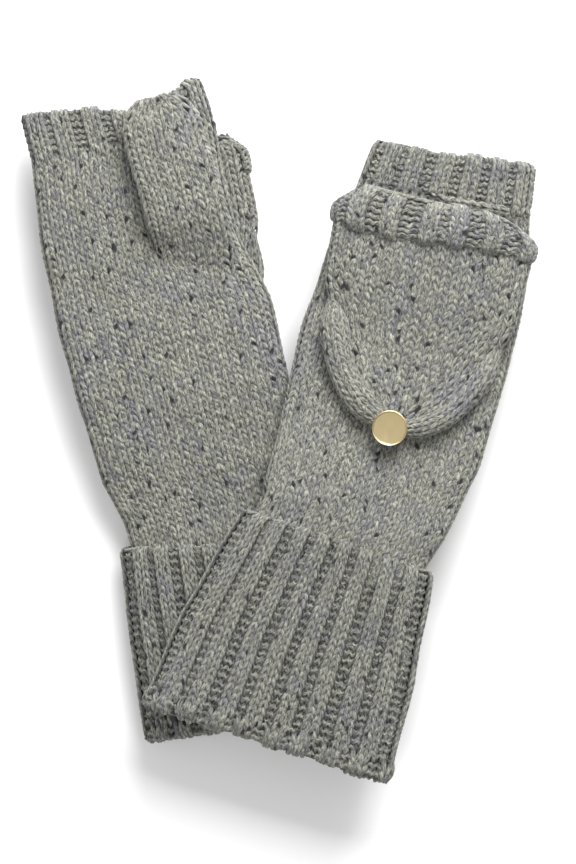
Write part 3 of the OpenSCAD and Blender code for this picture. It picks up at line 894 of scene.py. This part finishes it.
# %% The cap's surface
def cap_shape(side):
    """The flat pocket, from its mouth to just short of its tip, and how long that is."""
    mouth, bend, tip = cap_lines(side)

    def shape(v):
        y = mouth + MOUTH_BACK - SHELL_BACK - v
        past = np.clip(bend - y, 0, None)
        full = np.interp(y, [bend, mouth], [CAP_W, CAP_MOUTH_W + MOUTH_EXTRA])
        r = np.sqrt(np.clip(1 - (past / (CAP_ROUND - SHELL_SHORT)) ** 2, 0, 1))
        half = (full - mouth_corner(mouth, y) - 5 * smooth(past / 24)) * np.maximum(r, 0.03)
        thick = CAP_THIN + CAP_PUFF * smooth((y - tip - PUFF_FROM) / PUFF_LONG)
        thick = thick * (0.5 + 0.5 * r)
        slant = KNUCKLE[side][1] * smooth((y - bend) / (mouth - bend))
        return (y, cap_middle(side, y), half - CAP_WALL / 2 * r, np.radians(slant), HAND_H + AIR + thick,
                thick - CAP_WALL / 2 * r)
    return shape, CAP_LEN + MOUTH_BACK - SHELL_BACK - SHELL_SHORT


# %% [markdown]
# ## The raised bands
# As a bump on the pocket, a band would have the middle's stitches across it, and the decreases run along
# the edge. So each band is a small tube, knitted along the edge.

# %% The surface of a band
BAND_TURN = (8, 84)  # where it starts and ends round the tip, degrees
BAND_GROW = 20
BAND_FADE = 12
BAND_STITCH = 1.6


def band_surface(side, to_thumb, wide):
    """A small tube along the edge of the rounded tip. v runs from the side of the cap to the button."""
    bend = cap_lines(side)[1]
    turn = np.radians(np.linspace(*BAND_TURN, 120))
    y = bend - (CAP_ROUND - wide) * np.sin(turn)
    x = cap_middle(side, y) + to_thumb * (CAP_W - wide) * np.cos(turn)
    length = np.concatenate([[0], np.cumsum(np.hypot(np.diff(x), np.diff(y)))])
    heading = np.unwrap(np.arctan2(np.gradient(y), np.gradient(x)))

    def at(u, v):
        v = np.clip(v, 0, length[-1])
        px, py, aim = (np.interp(v, length, line) for line in (x, y, heading))
        grow = 0.4 + 0.6 * smooth(v / BAND_GROW)
        grow = grow * (1 - 0.3 * smooth((v - length[-1] + BAND_FADE) / BAND_FADE))
        sideways = np.sin(2 * math.pi * u) * (wide - YARN_WIDE) * grow
        height = np.cos(2 * math.pi * u) * (BAND_H - YARN_DEEP) * grow
        return lay(side, px - np.sin(aim) * sideways, py + np.cos(aim) * sideways,
                   HAND_H + AIR + BAND_H * grow + height)
    return at, length[-1]


print(f"bands: {band_surface('left', 1, BAND_W['left'][0])[1]:.0f} mm long")

# %% [markdown]
# ## The turned hem
# The mouth ends in a thick hem of rib that rolls at both edges. It is knitted in flat rows half round the
# cap, over the mouth and down to its lower edge. A chain closes its upper edge.

# %% The surface of the hem
HEM_PROUD = 3.6
HEM_SKEW = {"right": -2, "left": 3.7}
HEM_WALES = 28
HEM_REACH = 0.275
HEM_START = -4
HEM_EXTRA = 3
MOUTH_CHAIN = 1.2
MOUTH_CHAIN_WIDE = 3.4
HEM = outline(HEM_DEEP / 2, HEM_PROUD)


def hem_surface(side):
    """The turned hem: half round the cap, and rolled over at its upper and lower edges."""
    mouth = cap_lines(side)[0]
    position, across, up = FLAT
    roll_position, roll_across, roll_up = HEM
    depth = HEM_DEEP + 2 * HEM_PROUD

    def at(u, v):
        part = (v / depth - 0.5) / 2
        y = mouth - HEM_DEEP / 2 - np.interp(part, roll_position, roll_across) * HEM_DEEP / 2
        proud = np.interp(part, roll_position, roll_up) * HEM_PROUD - YARN_DEEP
        t = (mouth - y) / HEM_DEEP
        slant = np.radians(KNUCKLE[side][1] + (HEM_SKEW[side] - KNUCKLE[side][1]) * t)
        corner = mouth_corner(mouth, y)
        sideways = np.interp(u, position, across)
        y = y - table_at(MOUTH_SAG[side], sideways) * (1 - t) - table_at(HEM_SAG[side], sideways) * t
        proud = proud * (1 - 0.5 * smooth((np.abs(sideways) - 0.84) / 0.16))
        a = sideways * (CAP_W + proud - corner)
        z = HAND_H + AIR + CAP_H + np.interp(u, position, up) * (CAP_H + proud)
        return lay(side, cap_middle(side, y) + a * np.cos(slant), y + a * np.sin(slant), z)
    return at, depth


print(f"hems: {HEM_DEEP:.0f} mm deep, {HEM_WALES} stitches wide")

# %% Knit the caps
CAP_JOIN_SHARE = 0.75
CAP_JOIN_PROUD = 0.3
for side in SIDES:
    shape, cap_long = cap_shape(side)
    at = flat_tube(side, shape, 1, mouth_sag(side))
    strands = [knit(at, CAP_START, cap_long, by_width(at), out=-UP[side], seed=41, drift=0.3)]
    make_piece(side, "cap_knit", strands, "cap_shell", "body_yarn", body_wool, "cap")
    for to_thumb, label, wide in zip((1, -1), ("thumb_side", "little_side"), BAND_W[side]):
        at, long = band_surface(side, to_thumb, wide)
        strands = [knit(at, 0, long, 2 * round(wide / BAND_STITCH), out=-UP[side], thick=1.05, drift=0.15,
                        seed=42)]
        make_piece(side, f"band_{label}_knit", strands, f"cap_band_{label}", "body_yarn", body_wool, "cap")
    at, deep = hem_surface(side)
    strands = [knit(at, HEM_START, deep + HEM_EXTRA, HEM_WALES, out=-UP[side], pattern=RIB, knit_share=0.5,
                    relief=0.35, row=3.0, thick=1.3, closed=False, reach=HEM_REACH, seed=43)]
    edge_long = girth(at, MOUTH_CHAIN) * 2 * HEM_REACH
    strands.append(chain(
        lambda u, v: at((v / edge_long - 0.5) * 2 * HEM_REACH, MOUTH_CHAIN + u * MOUTH_CHAIN_WIDE),
        edge_long, UP[side], seed=45))
    make_piece(side, "hem_knit", strands, "cap_hem", body="cap")
    y = cap_lines(side)[0] + MOUTH_BACK - SHELL_BACK
    strands = [seam(side, (column(HAND[side], y, 1), y, HAND_H + CAP_JOIN_PROUD),
                    column(HAND[side], y, 2) * CAP_JOIN_SHARE, math.radians(KNUCKLE[side][1]), 12,
                    -JOIN_SAG, 44)]
    make_piece(side, "cap_join", strands, "cap_seam")

# %% [markdown]
# ## Buttons
# Each button is a flat gilt disc with a thin raised rim, on a shank with an eye that is sewn to the hand
# with cotton. Its face is brushed in one direction: fine parallel scratches that spread the reflection
# across them. A stretched noise gives both the tone and the height of the scratches.

# %% Brushed gold
brushed = new_group("brushed_metal", {"Metal": (0.85, 0.66, 0.38, 1), "Scratches": 0.12})
into = brushed.nodes.new("NodeGroupInput")
place = node(brushed, "ShaderNodeTexCoord")
stretched = node(brushed, "ShaderNodeMapping", {"Vector": place.outputs["Object"]})
stretched.inputs["Scale"].default_value = (7000, 120, 120)
scratch = noise(brushed, stretched.outputs[0], 1.0, 3.0)
tone = maths(brushed, "MULTIPLY", maths(brushed, "SUBTRACT", scratch, 0.5), into.outputs["Scratches"])
tone = maths(brushed, "ADD", tone, 1.0)
out_of = node(brushed, "NodeGroupOutput", {0: lit(brushed, into.outputs["Metal"], tone)})
brushed.links.new(scratch, out_of.inputs[1])

gold = group_material("gold", brushed, {"Metal": (0.43, 0.35, 0.195, 1), "Scratches": 0.5},
                      {"Metallic": 1.0, "Roughness": 0.42}, 0.12, 0.05)
print("brushed metal group:", len(brushed.nodes), "nodes")

# %% [markdown]
# ## The turned parts of a button
# The face and its back plate are round sheet metal, pressed in a die. A plain cylinder would have sharp
# edges, so a profile with a rolled rim is turned round the button's axis instead.

# %% Turn a profile
BUTTON_AT = {"right": (5.5, 73.3), "left": (8.5, 56.3)}
BUTTON_R = 8.0
BACK_R = 7.2
BACK_T = 0.8
HEAD_T = 2.6
HEAD_Z = 11.0
LOOP_Z = 8.1
EYE_Z = 7.0
SHANK_R = 2.0
TURN_STEPS = 64


def revolve(name, side, profile):
    """A closed surface of revolution round the button's axis, from (radius, z) points."""
    x, y = BUTTON_AT[side]
    points, faces = [], []
    turn = np.arange(TURN_STEPS) * 2 * math.pi / TURN_STEPS
    for r, z in profile:
        points.append(lay(side, x + r * np.cos(turn), y + r * np.sin(turn), np.full(TURN_STEPS, z)))
    rings = len(profile)
    for i in range(rings - 1):
        for j in range(TURN_STEPS):
            k = (j + 1) % TURN_STEPS
            faces.append([i * TURN_STEPS + j, i * TURN_STEPS + k, (i + 1) * TURN_STEPS + k,
                          (i + 1) * TURN_STEPS + j][::UP[side]])
    faces.append(list(range(TURN_STEPS))[::-UP[side]])
    faces.append(list(range((rings - 1) * TURN_STEPS, rings * TURN_STEPS))[::UP[side]])
    mesh = bpy.data.meshes.new(name)
    mesh.from_pydata(np.concatenate(points).tolist(), [], faces)
    mesh.shade_smooth()
    mesh.set_sharp_from_angle(angle=math.radians(35))
    return add_object(name, mesh)


print(f"buttons: {2 * BUTTON_R:.0f} mm across and {HEAD_T} mm thick")

# %% [markdown]
# ## Put the buttons together
# The shank is a post with an eye of wire, and cotton goes through the eye into the back of the hand. A
# loop of yarn from the tip of the cap goes round the post, under the button's face, and holds the cap.

# %% Profiles and paths of a button
RIM = [(BUTTON_R - 0.35, 0.0), (BUTTON_R - 0.1, 0.1), (BUTTON_R, 0.35)] + [
    (BUTTON_R - inset, HEAD_T - down) for inset, down in (
        (0, 0.4), (0.1, 0.12), (0.35, 0), (0.6, 0.06), (0.85, 0.28), (1.2, 0.3))] + [(0.02, HEAD_T - 0.18)]
FACE_PROFILE = [(BACK_R + 0.05, BACK_T + HEAD_Z), (BACK_R + 0.05, HEAD_Z)] + [
    (r, z + HEAD_Z) for r, z in RIM]
BACK_PROFILE = [(0.02, HEAD_Z), (BACK_R - 0.15, HEAD_Z), (BACK_R, HEAD_Z + 0.15),
                (BACK_R, HEAD_Z + BACK_T - 0.05), (0.02, HEAD_Z + BACK_T - 0.05)]
EYE_R = 1.55
EYE_WIRE = 0.62
POST_R = 1.5
WIRE_STEPS = 33
REACH = SHANK_R + 0.9
COTTON_PATH = [(-REACH, HAND_H - 0.8), (-REACH, EYE_Z - 0.5), (-REACH + 0.5, EYE_Z), (0, EYE_Z),
               (REACH - 0.5, EYE_Z), (REACH, EYE_Z - 0.5), (REACH, HAND_H - 0.8)]
LOOP_TURN = np.radians(np.linspace(-60, 240, 24))
LOOP_R = 4.2
LOOP_ENDS = [(8.7, -1.0), (6.0, -3.0)]
LOOP_PATH = (LOOP_ENDS + [(LOOP_R * math.cos(t), LOOP_R * math.sin(t)) for t in LOOP_TURN]
             + [(-px, py) for px, py in LOOP_ENDS[::-1]])
print("points of the face:", len(FACE_PROFILE))

# %% Build the buttons
for side in SIDES:
    x, y = BUTTON_AT[side]
    for label, profile, stands_for in (("button_face", FACE_PROFILE, "button_shell"),
                                       ("button_back_plate", BACK_PROFILE, "button_back")):
        hand_over(revolve(f"{side}_{label}", side, profile), f"{side}_button", "brushed_gold", gold,
                  f"{side}_{stands_for}")
    a = np.linspace(0, 2 * math.pi, WIRE_STEPS)
    eye = lay(side, x + 0 * a, y + EYE_R * np.sin(a), EYE_Z + EYE_R * np.cos(a))
    stem = lay(side, x + 0 * a, y + 0 * a, np.linspace(EYE_Z + 1.5, HEAD_Z + 0.1, WIRE_STEPS))
    across = np.tile([1.0, 0.0, 0.0], (WIRE_STEPS, 1))
    strands = []
    for path, radius in ((eye, EYE_WIRE), (stem, POST_R)):
        rings, along = yarn_tube(path, across, radius * MM, radius * MM)
        strands.append((rings, along, np.zeros(WIRE_STEPS)))
    make_piece(side, "button_eye", strands, "button_shank", "brushed_gold", gold, "button")
    path = [lay(side, x + dx, y, z) for dx, z in COTTON_PATH]
    make_piece(side, "button_cotton", [laid_yarn(path, 0.5)], "button_thread", "sewing_thread", cotton,
               "button")
    path = [lay(side, x + dx, y + dy, LOOP_Z) for dx, dy in LOOP_PATH]
    make_piece(side, "loop_yarn", [laid_yarn(path, 0.9)], "cap_loop", "loop_yarn", loop_wool, "cap")

# %% [markdown]
# ## The stage
# The pair lies on white paper in an even, white world. That alone would make the ribs look flat, so a large
# soft lamp beyond the fingers gives each loop a short shadow, and a weak one fills in. The lowest loops of
# yarn reach 2 mm under z = 0, so the paper lies there. The camera looks straight down.

# %% The floor
scene = bpy.context.scene
FLOOR = 3.0
FLOOR_DROP = 0.002
floor_mesh = bpy.data.meshes.new("floor")
floor_mesh.from_pydata([(-FLOOR, -FLOOR, 0), (FLOOR, -FLOOR, 0), (FLOOR, FLOOR, 0), (-FLOOR, FLOOR, 0)], [],
                       [(0, 1, 2, 3)])
floor = add_object("floor", floor_mesh)
floor.location.z = -FLOOR_DROP
paper = bpy.data.materials.new("paper")
paper.use_nodes = True
sockets = paper.node_tree.nodes["Principled BSDF"].inputs
sockets["Base Color"].default_value = (0.9, 0.9, 0.9, 1)
sockets["Roughness"].default_value = 0.9
floor_mesh.materials.append(paper)
print("floor:", 2 * FLOOR, "m wide,", FLOOR_DROP, "m down")

# %% Lamps and world
from mathutils import Vector


def lamp(name, place, size, power):
    """A square lamp that faces the middle of the frame."""
    light = bpy.data.lights.new(name, "AREA")
    light.size = size
    light.energy = power
    holder = add_object(name, light)
    holder.location = place
    holder.rotation_euler = (-Vector(place)).to_track_quat("-Z", "Y").to_euler()


lamp("key", (0.35, 1.1, 0.8), 0.9, 42)
lamp("fill", (-0.8, -0.6, 1.3), 1.2, 8)
world = bpy.data.worlds.new("studio")
scene.world = world
world.use_nodes = True
sockets = world.node_tree.nodes["Background"].inputs
sockets["Color"].default_value = (1, 1, 1, 1)
sockets["Strength"].default_value = 0.5
scene.view_settings.view_transform = "Standard"
print("lamps:", [light.name for light in bpy.data.lights])

# %% The camera
CAMERA_HIGH = 2.0
VIEW_TALL = 0.3888  # height of the view at that distance, m
camera_data = bpy.data.cameras.new("camera")
camera_data.sensor_width = 36
camera_data.lens = 36 * CAMERA_HIGH / VIEW_TALL
camera_data.clip_end = 20
camera = add_object("camera", camera_data)
camera.location = (0.00345, -0.00223, CAMERA_HIGH + 0.02)
scene.camera = camera
print(f"camera: {camera_data.lens:.0f} mm lens, {camera.location.z:.2f} m up")
